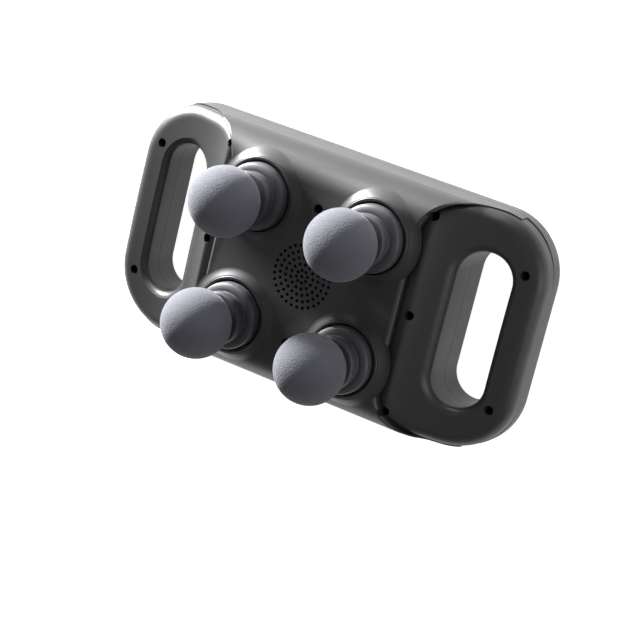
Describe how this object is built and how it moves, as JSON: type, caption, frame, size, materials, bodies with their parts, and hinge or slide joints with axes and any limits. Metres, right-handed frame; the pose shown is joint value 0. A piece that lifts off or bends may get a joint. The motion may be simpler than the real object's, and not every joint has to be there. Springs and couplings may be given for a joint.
{
  "type": "percussion massager",
  "caption": "Two-handled percussion massager with a wide flat casing, a finger slot in each grip, ball heads on sprung collars and a round vent between them.",
  "frame": {"origin": "middle of the flat back face", "axes": "+X along the casing from grip to grip, +Y across it, +Z from the back towards the ball heads"},
  "size_m": [0.2922, 0.152, 0.1217],
  "materials": {
    "casing": "satin dark grey moulding",
    "ball": "fine grained matt foam",
    "collar": "satin slate moulding",
    "piston": "smooth bearing plastic",
    "moulding": "plain moulding",
    "steel": "turned steel",
    "screw": "blackened steel",
    "motor_can": "plated can",
    "cell": "shrink sleeve",
    "board": "circuit board",
    "black": "satin black moulding"
  },
  "bodies": {
    "casing": {"front_shell": "casing", "rear_shell": "casing", "case_screw_01": "screw", "case_screw_02": "screw", "case_screw_03": "screw", "case_screw_04": "screw", "case_screw_05": "screw", "case_screw_06": "screw", "case_screw_07": "screw", "case_screw_08": "screw", "case_screw_09": "screw", "case_screw_10": "screw", "case_screw_11": "screw", "case_screw_12": "screw", "guide_sleeve_left_lower": "moulding", "guide_sleeve_left_upper": "moulding", "guide_sleeve_right_lower": "moulding", "guide_sleeve_right_upper": "moulding", "motor_left": "motor_can", "motor_cradle_left": "moulding", "battery_cell_left": "cell", "motor_right": "motor_can", "motor_cradle_right": "moulding", "battery_cell_right": "cell", "fan_frame": "black", "battery_tray": "moulding", "control_board": "board", "switch_board": "board", "charge_socket": "steel"},
    "head_left_lower": {"massage_ball_left_lower": "ball", "head_collar_left_lower": "collar", "head_piston_left_lower": "piston"},
    "head_left_upper": {"massage_ball_left_upper": "ball", "head_collar_left_upper": "collar", "head_piston_left_upper": "piston"},
    "head_right_lower": {"massage_ball_right_lower": "ball", "head_collar_right_lower": "collar", "head_piston_right_lower": "piston"},
    "head_right_upper": {"massage_ball_right_upper": "ball", "head_collar_right_upper": "collar", "head_piston_right_upper": "piston"},
    "left_drive": {"motor_shaft_left": "steel", "crank_left_lower": "steel", "crank_left_upper": "steel", "crank_roller_left_lower": "steel", "crank_roller_left_upper": "steel"},
    "right_drive": {"motor_shaft_right": "steel", "crank_right_lower": "steel", "crank_right_upper": "steel", "crank_roller_right_lower": "steel", "crank_roller_right_upper": "steel"},
    "fan": {"fan_rotor": "black"},
    "speed_down_button": {"speed_down_button": "black"},
    "power_button": {"power_button": "black"},
    "speed_up_button": {"speed_up_button": "black"}
  },
  "joints": [
    {"name": "left_motor_spin", "type": "hinge", "parent": "casing", "child": "left_drive", "pos_m": [-0.0414, 0, 0.021], "axis": [0, 1, 0], "continuous": true},
    {"name": "right_motor_spin", "type": "hinge", "parent": "casing", "child": "right_drive", "pos_m": [0.0414, 0, 0.021], "axis": [0, 1, 0], "continuous": true},
    {"name": "head_left_upper_stroke", "type": "slide", "parent": "casing", "child": "head_left_upper", "axis": [0, 0, 1], "range_m": [-0.0025, 0.0025]},
    {"name": "head_left_lower_stroke", "type": "slide", "parent": "casing", "child": "head_left_lower", "axis": [0, 0, 1], "range_m": [-0.0025, 0.0025]},
    {"name": "head_right_upper_stroke", "type": "slide", "parent": "casing", "child": "head_right_upper", "axis": [0, 0, 1], "range_m": [-0.0025, 0.0025]},
    {"name": "head_right_lower_stroke", "type": "slide", "parent": "casing", "child": "head_right_lower", "axis": [0, 0, 1], "range_m": [-0.0025, 0.0025]},
    {"name": "fan_spin", "type": "hinge", "parent": "casing", "child": "fan", "pos_m": [0, 0, 0.048], "axis": [0, 0, 1], "continuous": true},
    {"name": "speed_down_button_press", "type": "slide", "parent": "casing", "child": "speed_down_button", "axis": [0, 0, 1], "range_m": [0, 0.0008], "stiffness_N_per_m": 600, "springref_m": -0.0005},
    {"name": "power_button_press", "type": "slide", "parent": "casing", "child": "power_button", "axis": [0, 0, 1], "range_m": [0, 0.0008], "stiffness_N_per_m": 600, "springref_m": -0.0005},
    {"name": "speed_up_button_press", "type": "slide", "parent": "casing", "child": "speed_up_button", "axis": [0, 0, 1], "range_m": [0, 0.0008], "stiffness_N_per_m": 600, "springref_m": -0.0005}
  ],
  "couplings": [
    {"joint": "head_left_lower_stroke", "follows": "head_left_upper_stroke", "ratio": -1},
    {"joint": "head_right_lower_stroke", "follows": "head_right_upper_stroke", "ratio": -1}
  ]
}
